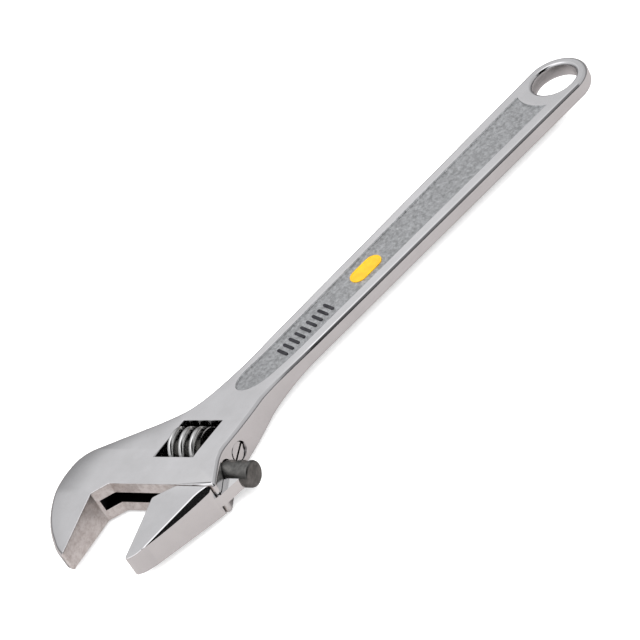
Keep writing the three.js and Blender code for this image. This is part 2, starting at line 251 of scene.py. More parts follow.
def polish(piece, angle=32):
    """Merges doubles and shades the piece smooth, with flat faces kept flat."""
    open_all(piece)
    bpy.ops.mesh.remove_doubles(threshold=0.0005 * MM)
    bpy.ops.mesh.normals_make_consistent(inside=False)
    bpy.ops.object.mode_set(mode="OBJECT")
    bpy.ops.object.shade_smooth_by_angle(angle=math.radians(angle))
    step = piece.modifiers.new("weights", "WEIGHTED_NORMAL")
    step.keep_sharp = True
    step.weight = 80
    bpy.ops.object.modifier_apply(modifier=step.name)
    print(piece.name, "has", len(piece.data.polygons), "faces")


# %% [markdown]
# ## Finishes
# Polished chrome is a clear mirror with long, shallow waves from the polishing wheel and very fine
# lines, and the fixed jaw's back is buffed slightly round. The handle's sunken panel keeps its
# blasted, matte forged skin, and its wall has a duller grade of the same skin. The jaw faces and the
# slideway are ground, so they are warmer, rougher and mottled. Effects that several finishes share
# are node groups.

# %% Node group helpers
def new_group(name, inputs, outputs):
    """An empty node group with number inputs and the given outputs."""
    group = bpy.data.node_groups.new(name, "ShaderNodeTree")
    for label, value in inputs:
        socket = group.interface.new_socket(name=label, in_out="INPUT", socket_type="NodeSocketFloat")
        socket.default_value = value
    for label, kind in outputs:
        group.interface.new_socket(name=label, in_out="OUTPUT", socket_type=kind)
    return group, group.nodes.new("NodeGroupInput"), group.nodes.new("NodeGroupOutput")


def math_node(tree, operation, first, second):
    """A math node fed by sockets or plain numbers."""
    node = tree.nodes.new("ShaderNodeMath")
    node.operation = operation
    for socket, value in zip(node.inputs, (first, second)):
        if isinstance(value, (int, float)):
            socket.default_value = value
        else:
            tree.links.new(value, socket)
    return node.outputs["Value"]


def noise_node(tree, scale, detail, roughness=0.5, vector=None):
    """A noise texture on the piece's own coordinates."""
    node = tree.nodes.new("ShaderNodeTexNoise")
    node.inputs["Detail"].default_value = detail
    node.inputs["Roughness"].default_value = roughness
    if isinstance(scale, (int, float)):
        node.inputs["Scale"].default_value = scale
    else:
        tree.links.new(scale, node.inputs["Scale"])
    if vector is not None:
        tree.links.new(vector, node.inputs["Vector"])
    return node.outputs["Fac"]


def smooth_range(tree, value, low, high, top=1):
    """A mask that eases from 0 at low to top at high."""
    node = tree.nodes.new("ShaderNodeMapRange")
    node.interpolation_type = "SMOOTHSTEP"
    for label, number in (("From Min", low), ("From Max", high), ("To Max", top)):
        node.inputs[label].default_value = number
    tree.links.new(value, node.inputs["Value"])
    return node.outputs["Result"]


# %% Shared effects as node groups
def make_polish_group():
    """Long polishing waves and faint wipe marks: a height and a smudge mask."""
    group, inlet, outlet = new_group(
        "polish_marks",
        [("Wave Scale", 28), ("Grain Scale", 900), ("Grain Share", 0.02)],
        [("Height", "NodeSocketFloat"), ("Smudge", "NodeSocketFloat")],
    )
    place = group.nodes.new("ShaderNodeTexCoord").outputs["Object"]
    waves = noise_node(group, inlet.outputs["Wave Scale"], 1.5, 0.4, place)
    grain = noise_node(group, inlet.outputs["Grain Scale"], 3, 0.6, place)
    fine = math_node(group, "MULTIPLY", grain, inlet.outputs["Grain Share"])
    group.links.new(math_node(group, "ADD", waves, fine), outlet.inputs["Height"])
    smudge = noise_node(group, 60, 5, 0.65, place)
    group.links.new(smudge, outlet.inputs["Smudge"])
    return group


def make_edge_highlight_group():
    """Where corners stick out: a mask for a painted highlight along the edges."""
    group, inlet, outlet = new_group(
        "painted_edge_highlight",
        [("Start", 0.52), ("Softness", 14), ("Patchiness", 0.5)],
        [("Mask", "NodeSocketFloat")],
    )
    shape = group.nodes.new("ShaderNodeNewGeometry").outputs["Pointiness"]
    place = group.nodes.new("ShaderNodeTexCoord").outputs["Object"]
    patches = noise_node(group, 220, 4, 0.6, place)
    raised = math_node(group, "SUBTRACT", shape, inlet.outputs["Start"])
    sharp = math_node(group, "MULTIPLY", raised, inlet.outputs["Softness"])
    share = math_node(group, "MULTIPLY", patches, inlet.outputs["Patchiness"])
    mask = math_node(group, "MULTIPLY", sharp, math_node(group, "ADD", share, 0.5))
    clamp = group.nodes.new("ShaderNodeClamp")
    group.links.new(mask, clamp.inputs["Value"])
    group.links.new(clamp.outputs["Result"], outlet.inputs["Mask"])
    return group


def make_forged_group():
    """The pebbled skin of a blasted forging: a height and mottled light and dark."""
    group, inlet, outlet = new_group(
        "forged_skin",
        [("Pebble Scale", 1500), ("Mottle Scale", 150)],
        [("Height", "NodeSocketFloat"), ("Mottle", "NodeSocketFloat")],
    )
    place = group.nodes.new("ShaderNodeTexCoord").outputs["Object"]
    pebbles = noise_node(group, inlet.outputs["Pebble Scale"], 2, 0.6, place)
    mottle = noise_node(group, inlet.outputs["Mottle Scale"], 5, 0.7, place)
    dents = math_node(group, "MULTIPLY", mottle, 1.2)
    group.links.new(math_node(group, "ADD", pebbles, dents), outlet.inputs["Height"])
    group.links.new(mottle, outlet.inputs["Mottle"])
    return group


CROWN_CENTRE = (6, -9)
CROWN_FADE = (24, -14)


def make_crown_group():
    """The fixed jaw's back, buffed slightly round toward its outer edge: a height in metres."""
    group, inlet, outlet = new_group(
        "buffed_crown",
        [("Start", 0.0135), ("Depth", 6.5)],
        [("Height", "NodeSocketFloat")],
    )
    place = group.nodes.new("ShaderNodeTexCoord").outputs["Object"]
    reach = group.nodes.new("ShaderNodeVectorMath")
    reach.operation = "DISTANCE"
    group.links.new(place, reach.inputs[0])
    reach.inputs[1].default_value = on_handle(*CROWN_CENTRE, HEAD_HALF)
    past_start = math_node(group, "SUBTRACT", reach.outputs["Value"], inlet.outputs["Start"])
    beyond = math_node(group, "MAXIMUM", past_start, 0)
    square = math_node(group, "MULTIPLY", beyond, beyond)
    drop = math_node(group, "MULTIPLY", square, inlet.outputs["Depth"])
    slide = group.nodes.new("ShaderNodeVectorMath")
    slide.operation = "DOT_PRODUCT"
    group.links.new(place, slide.inputs[0])
    slide.inputs[1].default_value = SLIDE
    start, end = (THROAT.dot(SLIDE) + edge * MM for edge in CROWN_FADE)
    fade = smooth_range(group, slide.outputs["Value"], start, end, -1)
    group.links.new(math_node(group, "MULTIPLY", drop, fade), outlet.inputs["Height"])
    return group


POLISH = make_polish_group()
EDGE_HIGHLIGHT = make_edge_highlight_group()
FORGED = make_forged_group()
CROWN = make_crown_group()
print("node groups:", [group.name for group in (POLISH, EDGE_HIGHLIGHT, FORGED, CROWN)])

# %% Finish helpers
def start_finish(name, metallic):
    """A new material with its Principled shader."""
    material = bpy.data.materials.new(name)
    material.use_nodes = True
    shader = material.node_tree.nodes["Principled BSDF"]
    shader.inputs["Metallic"].default_value = metallic
    return material, material.node_tree, shader


def place_group(tree, group, **values):
    """Puts a shared effect into a material with its own values."""
    node = tree.nodes.new("ShaderNodeGroup")
    node.node_tree = group
    for label, value in values.items():
        node.inputs[label.replace("_", " ")].default_value = value
    return node


def blend_colours(tree, mask, dark, light, low=0.0, high=1.0):
    """A colour ramp between two colours, driven by a mask."""
    ramp = tree.nodes.new("ShaderNodeValToRGB")
    first, last = ramp.color_ramp.elements
    first.position, first.color = low, (*dark, 1)
    last.position, last.color = high, (*light, 1)
    tree.links.new(mask, ramp.inputs["Fac"])
    return ramp.outputs["Color"]


def blend_values(tree, mask, low_value, high_value):
    """A number that runs between two values as the mask goes from 0 to 1."""
    node = tree.nodes.new("ShaderNodeMapRange")
    node.inputs["To Min"].default_value = low_value
    node.inputs["To Max"].default_value = high_value
    tree.links.new(mask, node.inputs["Value"])
    return node.outputs["Result"]


def add_relief(tree, shader, height, distance, strength=1.0):
    """A bump that turns a height into the surface's normals."""
    bump = tree.nodes.new("ShaderNodeBump")
    bump.inputs["Distance"].default_value = distance
    bump.inputs["Strength"].default_value = strength
    tree.links.new(height, bump.inputs["Height"])
    tree.links.new(bump.outputs["Normal"], shader.inputs["Normal"])
    return bump


# %% Chrome, in a clean and a ground grade
def make_chrome(name, dark, light, roughness, wave_depth, wave_scale):
    """Plated steel with polishing waves, smudges, a painted highlight on sharp edges and the fixed
    jaw's crown.
    """
    material, tree, shader = start_finish(name, 1.0)
    marks = place_group(tree, POLISH, Wave_Scale=wave_scale, Grain_Scale=1100, Grain_Share=0.004)
    # Sharp edges are painted near white: a painted highlight along the rims.
    edge_highlight = place_group(tree, EDGE_HIGHLIGHT, Start=0.53, Softness=10, Patchiness=0.8)
    colour = blend_colours(tree, marks.outputs["Smudge"], dark, light, 0.3, 0.7)
    bright = tree.nodes.new("ShaderNodeMix")
    bright.data_type = "RGBA"
    tree.links.new(edge_highlight.outputs["Mask"], bright.inputs["Factor"])
    tree.links.new(colour, bright.inputs["A"])
    bright.inputs["B"].default_value = (0.93, 0.92, 0.91, 1)
    tree.links.new(bright.outputs["Result"], shader.inputs["Base Color"])
    gloss = blend_values(tree, marks.outputs["Smudge"], roughness * 0.8, roughness * 1.25)
    tree.links.new(gloss, shader.inputs["Roughness"])
    waves = add_relief(tree, shader, marks.outputs["Height"], wave_depth)
    crown = tree.nodes.new("ShaderNodeBump")
    crown.inputs["Distance"].default_value = 1
    tree.links.new(place_group(tree, CROWN).outputs["Height"], crown.inputs["Height"])
    tree.links.new(crown.outputs["Normal"], waves.inputs["Normal"])
    return material


CHROME = make_chrome("mirror_chrome", (0.70, 0.695, 0.70), (0.78, 0.775, 0.785), 0.1, 0.00022, 22)
WORM_CHROME = make_chrome("worm_chrome", (0.66, 0.66, 0.65), (0.76, 0.76, 0.75), 0.13, 0.00004, 60)
print("made", CHROME.name, "and", WORM_CHROME.name)

# %% Finishes on the mottled skin: ground steel, blasted panel and enamel
def make_mottled(name, metallic, scales, tones, spread, gloss, relief):
    """A finish whose colour and gloss follow the skin's mottle, with the skin's relief."""
    material, tree, shader = start_finish(name, metallic)
    skin = place_group(tree, FORGED, Pebble_Scale=scales[0], Mottle_Scale=scales[1])
    mottle = skin.outputs["Mottle"]
    tree.links.new(blend_colours(tree, mottle, *tones, *spread), shader.inputs["Base Color"])
    tree.links.new(blend_values(tree, mottle, *gloss), shader.inputs["Roughness"])
    add_relief(tree, shader, skin.outputs["Height"], relief)
    return material


def make_ground_steel():
    """Ground by a wheel along the slide: warm, mottled and slightly rough."""
    tones = (0.62, 0.565, 0.54), (0.92, 0.885, 0.87)
    return make_mottled("ground_steel", 1.0, (2600, 420), tones, (0.28, 0.6), (0.42, 0.24), 0.00003)


def make_blasted_panel(name, metallic):
    """The sunken panel's matte grey skin, duller where the finish is less metallic."""
    tones = (0.36, 0.365, 0.37), (0.70, 0.71, 0.72)
    return make_mottled(name, metallic, (1700, 620), tones, (0.34, 0.66), (0.5, 0.36), 0.00012)


def make_enamel():
    """Thick glossy enamel, faintly mottled."""
    tones = (0.66, 0.35, 0.002), (0.76, 0.47, 0.003)
    enamel = make_mottled("plate_enamel", 0.0, (500, 120), tones, (0.35, 0.6), (0.4, 0.25), 0.00002)
    shader = enamel.node_tree.nodes["Principled BSDF"]
    shader.inputs["Coat Weight"].default_value = 0.3
    shader.inputs["Coat Roughness"].default_value = 0.08
    return enamel


# %% Dark oiled steel, also used as painted shade and a painted dark reflection
def make_dark_steel_and_painted_shade(name, dark, light, roughness):
    """Oiled steel with fine turned rings across the slide direction, also used as painted shade."""
    material, tree, shader = start_finish(name, 1.0)
    skin = place_group(tree, FORGED, Pebble_Scale=2200, Mottle_Scale=240)
    place = tree.nodes.new("ShaderNodeTexCoord")
    turn = tree.nodes.new("ShaderNodeMapping")
    turn.inputs["Rotation"].default_value = (0, 0, math.pi / 2 - HEAD_TURN)
    rings = tree.nodes.new("ShaderNodeTexWave")
    rings.inputs["Scale"].default_value = 900
    rings.inputs["Distortion"].default_value = 1.5
    tree.links.new(place.outputs["Object"], turn.inputs["Vector"])
    tree.links.new(turn.outputs["Vector"], rings.inputs["Vector"])
    colour = blend_colours(tree, skin.outputs["Mottle"], dark, light, 0.3, 0.7)
    tree.links.new(colour, shader.inputs["Base Color"])
    gloss = blend_values(tree, skin.outputs["Mottle"], roughness * 1.2, roughness * 0.8)
    tree.links.new(gloss, shader.inputs["Roughness"])
    grooves = math_node(tree, "MULTIPLY", rings.outputs["Fac"], 0.6)
    height = math_node(tree, "ADD", skin.outputs["Height"], grooves)
    add_relief(tree, shader, height, 0.00002)
    return material


GROUND = make_ground_steel()
PANEL = make_blasted_panel("blasted_panel", 1.0)
PANEL_WALL = make_blasted_panel("panel_wall", 0.35)
# The rack's own dark steel. The same finish darkens the worm's grooves and the pin's slot as painted
# shade.
DARK_STEEL_AND_GROOVE_SHADE = make_dark_steel_and_painted_shade("rack_steel_and_groove_shade", (0.085, 0.086, 0.082), (0.235, 0.23, 0.22), 0.32)
SPRING_STEEL = make_dark_steel_and_painted_shade("coil_steel", (0.10, 0.10, 0.11), (0.2, 0.2, 0.21), 0.3)
# Nearly black: a painted dark reflection on the raised bars.
BAR_DARK_REFLECTION = make_dark_steel_and_painted_shade("bar_painted_reflection", (0.04, 0.04, 0.045), (0.11, 0.11, 0.12), 0.3)
# Near black: painted shade inside the rackway, its slot and the pin's hole.
PAINTED_BORE_SHADE = make_dark_steel_and_painted_shade("painted_bore_shade", (0.012, 0.012, 0.014), (0.03, 0.03, 0.034), 0.45)
ENAMEL = make_enamel()
print("finishes:", [material.name for material in bpy.data.materials])

# %% [markdown]
# ## The body
# The body is one forging. Its outline is drawn once as a flat plate at the head's full thickness,
# with the worm's window and the hang hole cut through it, and every edge is rounded in one go while
# the plate is still flat. Loops are then cut across the jaw and the neck, and their points are moved
# toward the middle, which thins the jaw to its tip and the neck down to the handle.

# %% Outline of the body
def jaws_to_handle(slide, depth):
    """Jaw axes to handle axes, in millimetres."""
    point = SLIDE * slide + DEPTH * depth
    return (point.x, point.y)


def handle_edge(x, side):
    """The handle's edge, which widens evenly toward the ring."""
    t = (x - HANDLE_START) / (RING_X - HANDLE_START)
    half = HANDLE_HALF_WIDTH + (RING_RADIUS - HANDLE_HALF_WIDTH) * t
    return HANDLE_Y + (RING_Y - HANDLE_Y) * t + side * half


def body_outline():
    """The body from above, anticlockwise from the throat."""
    to = jaws_to_handle
    points = [to(0, 5.6), to(0.5, 4.9), to(5.6, 0.45), to(6.5, 0)]
    points += [to(a, 0) for a in (14, 22, 30, 38, 46, 54.2)]
    points += bow(to(54.2, 0), to(56.2, 0), to(55.7, -2.1), 5)
    points += [to(54, -6.6), to(52.3, -11.4)]
    points += bow(to(52.3, -11.4), to(50, -17), to(51.4, -23.5), 12)
    points += bow(to(51.4, -23.5), (54, -35.5), (64, -31.8), 14)
    points += bow((64, -31.8), (76, -28.8), (96, handle_edge(96, -1)), 12)
    points += [(x, handle_edge(x, -1)) for x in range(110, 250, 14)]
    points += arc((RING_X, RING_Y), RING_RADIUS, -math.pi / 2, math.pi / 2, 40)
    points += [(x, handle_edge(x, 1)) for x in range(236, 96, -14)]
    points += [(96, handle_edge(96, 1))]
    points += curve((96, handle_edge(96, 1)), (74, -5.4), (56, -8.2), (46, -5), 16)
    points += curve((46, -5), (42, -3.6), (39, -1.4), (35, 1), 5)
    points += [(28, 6.08), (20.5, 11.52), (14.2, 16.1)]
    points += curve((14.2, 16.1), (8.8, 20.3), (4.5, 20.8), (0.5, 20), 12)
    points += curve((0.5, 20), (-10.6, 18.5), (-21, 10.3), (-26.6, 0), 18)
    points += [(TIP_X + 1.2, -6), (TIP_X + 0.4, -8.4), (TIP_X, -10.2)]
    points += [(TIP_X + 0.25, -11.6), (-29.6, -12.3)]
    points += [to(0, depth) for depth in (31.2, 26, 20, 14, 9)]
    return points


body = outline_plate("wrench_forging", body_outline(), on_handle, -HEAD_HALF, HEAD_HALF)
body.data.materials.append(CHROME)
body.data.materials.append(GROUND)
print("outline points:", len(body_outline()))

# %% Ground faces: the slideway, the throat and the fixed jaw's face
def faces_the_gap(face):
    """True on the faces that were ground: those that look along the slide or out of the throat."""
    place = face.center - THROAT
    slide, depth = place.dot(SLIDE) / MM, place.dot(DEPTH) / MM
    along = face.normal.dot(SLIDE) > 0.3 and depth > 0.1 and slide < 7
    return along or (face.normal.dot(DEPTH) > 0.9 and -1 < slide < 56)


count = pick(body, "FACE", faces_the_gap)
bpy.context.object.active_material_index = 1
bpy.ops.object.material_slot_assign()
take(body)
print("ground faces:", count)

# %% [markdown]
# The worm's window is slanted: its two ends lean with the depth, while the worm's own ends are
# square. The hang hole is a plain round hole in the ring at the handle's end.

# %% Window and hang hole
WINDOW_LOW = WORM_DEPTH + WORM_RADIUS + CLEARANCE
WINDOW_HIGH = WORM_DEPTH - WORM_RADIUS - CLEARANCE
WINDOW_SLANT = 0.15
HOLE_SIDES = 64
PAST_FACES = 12


def window_outline():
    """The window's four corners in the jaws' axes."""
    left = WORM_ENDS[0] - CLEARANCE - WINDOW_SLANT * (WINDOW_LOW - WORM_DEPTH + WORM_RADIUS)
    right = WORM_ENDS[1] + CLEARANCE - WINDOW_SLANT * (WINDOW_LOW - WORM_DEPTH - WORM_RADIUS)
    lean = WINDOW_SLANT * (WINDOW_LOW - WINDOW_HIGH)
    low_side = [(left, WINDOW_LOW), (right, WINDOW_LOW)]
    return low_side + [(right + lean, WINDOW_HIGH), (left + lean, WINDOW_HIGH)]


window_tool = outline_plate("window_tool", window_outline(), on_jaws, -PAST_FACES, PAST_FACES)
window_tool.data.materials.append(CHROME)
last_angle = math.tau * (HOLE_SIDES - 1) / HOLE_SIDES
hole_outline = arc((RING_X, RING_Y), HOLE_RADIUS, 0, last_angle, HOLE_SIDES - 1)
hole_tool = outline_plate("hole_tool", hole_outline, on_handle, -PAST_FACES, PAST_FACES)
hole_tool.data.materials.append(CHROME)
join_or_cut(body, window_tool, "DIFFERENCE")
join_or_cut(body, hole_tool, "DIFFERENCE")
print("faces after cutting the window and the hole:", len(body.data.polygons))

# %% Round the outer edges
def is_rim(normals):
    """True where a flat side meets the front or back face."""
    ups = sorted(abs(normal.z) for normal in normals)
    return ups[0] < 0.3 and ups[1] > 0.7


def outer_rim(middle, normals):
    """The outer rim, apart from the ground edges of the gap and the window."""
    place = middle - THROAT
    slide, depth = place.dot(SLIDE) / MM, place.dot(DEPTH) / MM
    in_gap = (depth > -0.5 and -0.5 < slide < 54) or (-35 < depth < -13 and 17 < slide < 44)
    return is_rim(normals) and not in_gap


def hole_rim(middle, normals):
    """The edge of the hang hole."""
    reach = (middle - on_handle(RING_X, RING_Y, 0)).xy.length / MM
    return is_rim(normals) and reach < HOLE_RADIUS + 1


def gap_rim(middle, normals):
    """The crisp edges round the gap and the window."""
    return is_rim(normals) and not outer_rim(middle, normals)


print("hang hole edges:", soften(body, hole_rim, 1.3, 5))
print("outer rim edges:", soften(body, outer_rim, 1.7, 6))
print("gap rim edges:", soften(body, gap_rim, 0.4, 3))

# %% Thin the jaws and the neck
CREASE_SHARE = 0.56
CREASE_RUN = 29
NECK_RUN_OUT = 14
TAPER_START = 4


def neck_half(run):
    """Half the neck's thickness at a distance below the slideway: a crease, then a long curve."""
    if run <= NECK_START:
        return HEAD_HALF
    if run >= NECK_END:
        return HANDLE_HALF
    middle = HANDLE_HALF + (HEAD_HALF - HANDLE_HALF) * CREASE_SHARE
    start, end = (NECK_START, HEAD_HALF), (NECK_END, HANDLE_HALF)
    pulls = (NECK_START + CREASE_RUN, middle), (NECK_END - NECK_RUN_OUT, HANDLE_HALF)
    side = [start] + curve(start, *pulls, end, 40)
    for (x0, h0), (x1, h1) in zip(side, side[1:]):
        if x0 <= run <= x1:
            return h0 + (h1 - h0) * (run - x0) / (x1 - x0)
    return HANDLE_HALF


def half_thickness(point):
    """Half the forging's thickness over a place, in millimetres."""
    place = (point - THROAT) / MM
    depth = place.dot(DEPTH)
    tip_share = max(0, depth - TAPER_START) / (JAW_DEPTH - TAPER_START)
    return neck_half(-depth) + (TIP_HALF - HEAD_HALF) * tip_share


def thin(piece):
    """Brings the two faces together to the half thickness of each place, keeping the rounded rims."""
    for vertex in piece.data.vertices:
        side = 1 if vertex.co.z > THROAT.z else -1
        vertex.co.z += side * (half_thickness(vertex.co) - HEAD_HALF) * MM


slice_across(body, [on_jaws(0, depth) for depth in range(3, 32, 2)], DEPTH)
neck_runs = range(NECK_START + 1, NECK_END + 3, 2)
slice_across(body, [on_jaws(0, -run) for run in (NECK_START, *neck_runs)], DEPTH)
thin(body)
print("thickness at the handle:", 2 * half_thickness(on_handle(150, HANDLE_Y)), "mm")

# %% [markdown]
# The handle's two sunken panels are cut by one tool: a tall slab with the panel's outline from which
# a core has been taken. The core follows the forging's faces at an even depth below them, so the
# panels start shallow on the slope of the neck and keep their depth along the handle.

# %% Sunken panels
PANEL_DEPTH = 0.85
PANEL_RIM = 4.9
PANEL_NOSE = 76
NOSE_LENGTH = 18
RING_BORDER = 2.2
RING_SPREAD = 0.56
CORE_BOX = [(50, -45), (275, -45), (275, 10), (50, 10)]


def panel_outline():
    """The panel: round at the head and hollowed round the ring."""
    reach, spread, nose = RING_RADIUS + RING_BORDER, RING_SPREAD, PANEL_NOSE
    end_x = RING_X - reach * math.cos(spread)
    low_end, high_end = RING_Y - reach * math.sin(spread), RING_Y + reach * math.sin(spread)
    low, high = handle_edge(nose, -1) + PANEL_RIM, handle_edge(nose, 1) - PANEL_RIM
    along = [nose + (end_x - nose) * k / 8 for k in range(9)]
    points = [(along[k], low + (low_end - low) * k / 8) for k in range(9)]
    points += arc((RING_X, RING_Y), reach, math.pi + spread, math.pi - spread, 16)[1:]
    points += [(along[k], high + (high_end - high) * k / 8) for k in range(7, -1, -1)]
    tip = nose - NOSE_LENGTH
    points += curve((nose, high), (tip, high + 0.4), (tip, low - 0.4), (nose, low), 20)[:-1]
    return points


def panel_tool():
    """A tall slab with the panel's outline, less a core that follows the faces."""
    slab = outline_plate("panel_tool", panel_outline(), on_handle, -PAST_FACES, PAST_FACES)
    slab.data.materials.append(PANEL_WALL)
    core = outline_plate("panel_core", CORE_BOX, on_handle, -HEAD_HALF, HEAD_HALF)
    core.data.materials.append(PANEL)
    slice_across(core, [on_jaws(0, -run) for run in neck_runs], DEPTH)
    for vertex in core.data.vertices:
        inside = (half_thickness(vertex.co) - PANEL_DEPTH) / HEAD_HALF
        vertex.co.z = THROAT.z + (vertex.co.z - THROAT.z) * inside
    join_or_cut(slab, core, "DIFFERENCE")
    return slab


join_or_cut(body, panel_tool(), "DIFFERENCE")


def panel_edge(middle, normals):
    """The polished edge where the panel's wall meets the handle's face."""
    place = (middle - THROAT) / MM
    near_face = abs(abs(place.z) - half_thickness(middle)) < 0.1
    low, high = handle_edge(place.x, -1) + 2.5, handle_edge(place.x, 1) - 2.5
    return 60 < place.x < 245 and low < place.y < high and near_face and is_rim(normals)


print("panel edges:", soften(body, panel_edge, 0.12, 2))

# %% [markdown]
# Under the slideway runs the rackway, a round bore with a narrower slot that opens on the slideway.
# The movable jaw's neck passes through the slot and its round rack fills the bore. The slot starts
# a little after the bore, so that their end faces never lie in one plane. A smaller hole, bored from
# the side face, takes the worm's pin.

# %% Rackway and pin hole
BORE_START = 0.8
SLOT_START = 0.9
SLOT_HALF = 2.8
PAST_SIDE = 90
PIN_HOLE = (14.7, 60, 2.5)
PIN_HEAD_HOLE = (46.9, 70, 4.15)


def box_tool(name, slide, depth, half):
    """A box along the jaws' axes, given by its ends in slide and depth and its half height."""
    outline = [(slide[0], depth[0]), (slide[1], depth[0]), (slide[1], depth[1]), (slide[0], depth[1])]
    return outline_plate(name, outline, on_jaws, -half, half)


def cut_with(piece, tool, finish):
    """Cuts a piece and gives the cut faces their finish."""
    tool.data.materials.clear()
    tool.data.materials.append(finish)
    join_or_cut(piece, tool, "DIFFERENCE")


bore_radius = RACK_RADIUS + CLEARANCE
# The bore, the slot and the pin's hole are lined near black, painted shade in the gap.
cut_with(body, rod("bore_tool", BORE_START, PAST_SIDE, bore_radius, RACK_DEPTH, 64), PAINTED_BORE_SHADE)
cut_with(body, box_tool("slot_tool", (SLOT_START, PAST_SIDE), (RACK_DEPTH, 12), SLOT_HALF), PAINTED_BORE_SHADE)
cut_with(body, rod("pin_shank_tool", *PIN_HOLE, WORM_DEPTH, 40), PAINTED_BORE_SHADE)
cut_with(body, rod("pin_head_tool", *PIN_HEAD_HOLE, WORM_DEPTH, 48), CHROME)
polish(body)
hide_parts("wrench_body")
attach(body, "body")

# %% [markdown]
# ## The movable jaw
# Jaw, neck and rack are one forging. The jaw thins toward its tip like the fixed one, and a wide
# flat chamfer runs along each outer edge. It starts from nothing at the tip and is about 2 mm wide
# at its widest. The chamfer is one straight cut with a plane that is tilted to both faces.

# %% Outline of the movable jaw
def jaw_outline():
    """The jaw in its own axes, from the foot of the gripping face."""
    face, heel = JAW_OPENING, JAW_OPENING + JAW_WIDTH
    points = [(face, 6.6), (face + 0.4, 6.0), (face + 8.2, 0.6), (face + 8.9, 0.3)]
    points += [(face + 12, 0.3), (face + 18, 0.3), (heel - 0.4, 0.3), (heel + 0.1, 0.9), (heel, 2.2)]
    points += curve((heel, 2.2), (heel - 4.5, 10), (heel - 11, 19.9), (face + 6, JAW_REACH - 4), 16)
    points += bow((face + 6, JAW_REACH - 4), (face + 3.8, JAW_REACH - 0.8), (face + 1.1, JAW_REACH), 6)
    points += [(face + 0.3, JAW_REACH - 0.2), (face, JAW_REACH - 0.8)]
    points += [(face, depth) for depth in (26, 20, 14, 10)]
    return points


jaw = outline_plate("jaw_forging", jaw_outline(), on_jaws, -HEAD_HALF, HEAD_HALF)
jaw.data.materials.append(CHROME)
jaw.data.materials.append(GROUND)


def grips(face):
    """True on the movable jaw's gripping face and its foot."""
    return face.normal.dot(SLIDE) < -0.3 or face.normal.dot(DEPTH) < -0.9


pick(jaw, "FACE", grips)
bpy.context.object.active_material_index = 1
bpy.ops.object.material_slot_assign()
slice_across(jaw, [on_jaws(0, depth) for depth in range(3, 34, 2)], DEPTH)
thin(jaw)
print("jaw outline points:", len(jaw_outline()))

# %% Wide chamfers on the outer edges
CHAMFER_TIP = (4.2, 32.2)
CHAMFER_HEEL = (22.6, 0.3)
CHAMFER_LEAN = 1.5


def chamfer_plane(side):
    """A point on the chamfer's plane and its outward normal, for the front or the back face."""
    tip = on_jaws(JAW_OPENING + CHAMFER_TIP[0], CHAMFER_TIP[1], side * (TIP_HALF + 0.1))
    heel = on_jaws(JAW_OPENING + CHAMFER_HEEL[0], CHAMFER_HEEL[1], side * HEAD_HALF)
    along = (heel - tip).normalized()
    outward = Vector((along.y, -along.x, 0)).normalized()
    if outward.dot(SLIDE) < 0:
        outward = -outward
    lean = outward + UP * side * CHAMFER_LEAN
    normal = (lean - along * lean.dot(along)).normalized()
    return heel, normal


for side in (1, -1):
    point, normal = chamfer_plane(side)
    open_all(jaw)
    bpy.ops.mesh.bisect(plane_co=point, plane_no=normal, use_fill=True, clear_outer=True)
    bpy.ops.object.mode_set(mode="OBJECT")
CHAMFERS = [chamfer_plane(side) for side in (1, -1)]


def on_chamfer(normal):
    """True for the normal of a wide chamfer."""
    return any(normal.dot(plane_normal) > 0.995 for _, plane_normal in CHAMFERS)


def chamfer_rim(middle, normals):
    """Where a chamfer meets the front or back face."""
    return on_chamfer(normals[0]) != on_chamfer(normals[1]) and max(abs(n.z) for n in normals) > 0.95


def jaw_rim(middle, normals):
    """The rest of the jaw's edges between a face and a side."""
    return is_rim(normals) and not (on_chamfer(normals[0]) or on_chamfer(normals[1]))


print("chamfer edges:", soften(jaw, chamfer_rim, 0.4, 3))
print("other edges:", soften(jaw, jaw_rim, 0.35, 2))

# %% [markdown]
# The neck is a flat web and the rack a round bar with slanted tooth gaps. The gaps are spaced by the
# thread's pitch and lean by its lead angle, so the worm's thread lies in them without touching.

# %% Neck, rack and teeth
WEB_HALF = 2.5
GAP_FLOOR_HALF = 1.1
GAP_MOUTH_HALF = 2.55
MESHING_RADIUS = WORM_RADIUS - 1

neck_outline = [(RACK_START, 7), (RACK_START, RACK_DEPTH), (RACK_END - 2, RACK_DEPTH),
                (RACK_END - 4, RACK_DEPTH + RACK_RADIUS), (RACK_END - 8, 0), (RACK_END - 11, 3)]
neck = outline_plate("neck", neck_outline, on_jaws, -WEB_HALF, WEB_HALF)
neck.data.materials.append(CHROME)
rack = rod("rack", RACK_START, RACK_END, RACK_RADIUS, RACK_DEPTH, 64)
rack.data.materials.append(DARK_STEEL_AND_GROOVE_SHADE)


def end_edge(middle, normals):
    """The edge between a rod's end and its round side."""
    ends = sorted(abs(normal.dot(SLIDE)) for normal in normals)
    return ends[0] < 0.1 and ends[1] > 0.9


print("rack end edges:", soften(rack, end_edge, 1.1, 3))


def tooth_gap(slide):
    """A tapered bar that leans by the thread's lead angle."""
    floor_depth, mouth_depth = WORM_DEPTH + WORM_RADIUS + CLEARANCE, RACK_DEPTH - RACK_RADIUS - 1
    lead = THREAD_PITCH / (math.tau * MESHING_RADIUS)
    corners = [(-GAP_FLOOR_HALF, floor_depth), (GAP_FLOOR_HALF, floor_depth),
               (GAP_MOUTH_HALF, mouth_depth), (-GAP_MOUTH_HALF, mouth_depth)]
    bar = outline_plate("tooth_gap", [(slide + x, depth) for x, depth in corners], on_jaws, -8, 8)
    for vertex in bar.data.vertices:
        vertex.co -= SLIDE * (vertex.co.z - THROAT.z) * lead
    return bar


